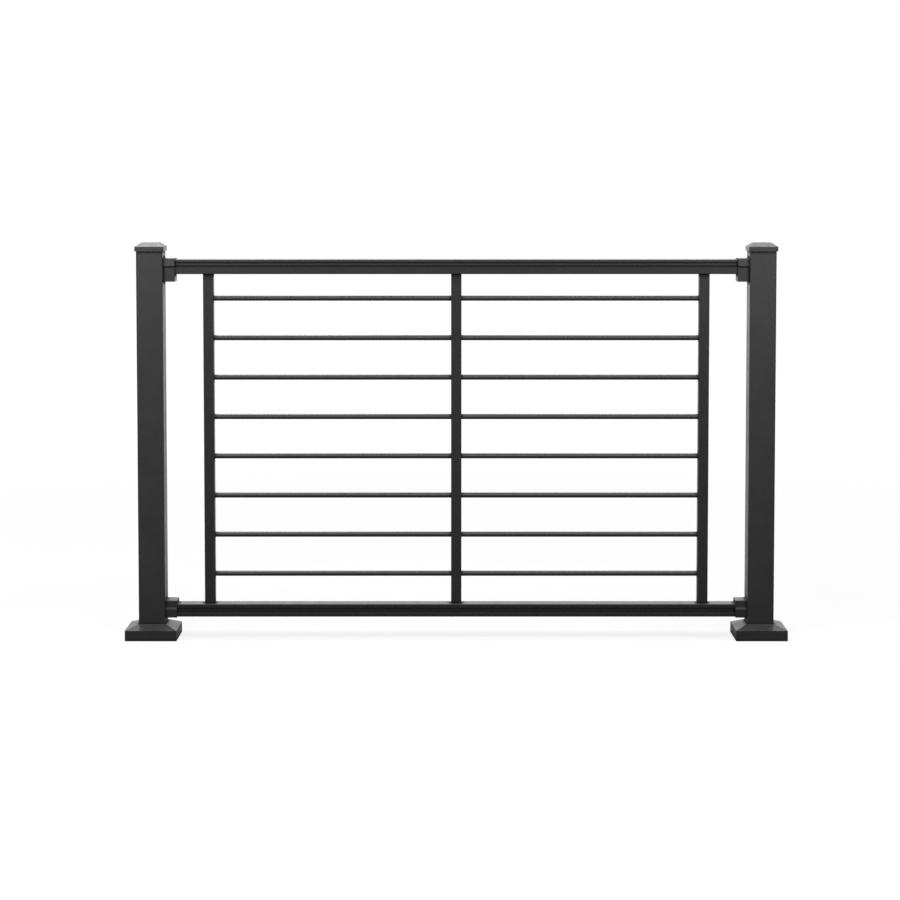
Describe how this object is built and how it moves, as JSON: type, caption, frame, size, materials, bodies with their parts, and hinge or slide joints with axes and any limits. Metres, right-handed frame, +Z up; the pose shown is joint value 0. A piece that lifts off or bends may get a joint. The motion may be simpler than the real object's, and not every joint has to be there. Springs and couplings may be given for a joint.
{
  "type": "deck railing section",
  "caption": "Deck railing section: two capped square posts on base plates, moulded top and bottom rails in sleeve brackets, square uprights and level round rods.",
  "frame": {"origin": "midway between the two posts, on the deck surface that the base plates and skirts stand on", "axes": "+X along the railing, to the right as seen from the front; -Y towards the front; +Z up"},
  "size_m": [1.591, 0.124, 0.955],
  "materials": {
    "post_coat": "satin",
    "rail_coat": "satin",
    "bracket_coat": "satin",
    "rod_coat": "satin",
    "plate_coat": "satin"
  },
  "bodies": {
    "root": {"left_post": "post_coat", "right_post": "post_coat", "left_base_plate": "plate_coat", "right_base_plate": "plate_coat", "left_post_skirt": "post_coat", "right_post_skirt": "post_coat", "left_post_cap": "post_coat", "right_post_cap": "post_coat", "top_rail": "rail_coat", "bottom_rail": "rail_coat", "top_left_bracket": "bracket_coat", "top_right_bracket": "bracket_coat", "bottom_left_bracket": "bracket_coat", "bottom_right_bracket": "bracket_coat", "left_stile": "rail_coat", "centre_stile": "rail_coat", "right_stile": "rail_coat", "rod_1": "rod_coat", "rod_2": "rod_coat", "rod_3": "rod_coat", "rod_4": "rod_coat", "rod_5": "rod_coat", "rod_6": "rod_coat", "rod_7": "rod_coat", "rod_8": "rod_coat"}
  },
  "joints": []
}
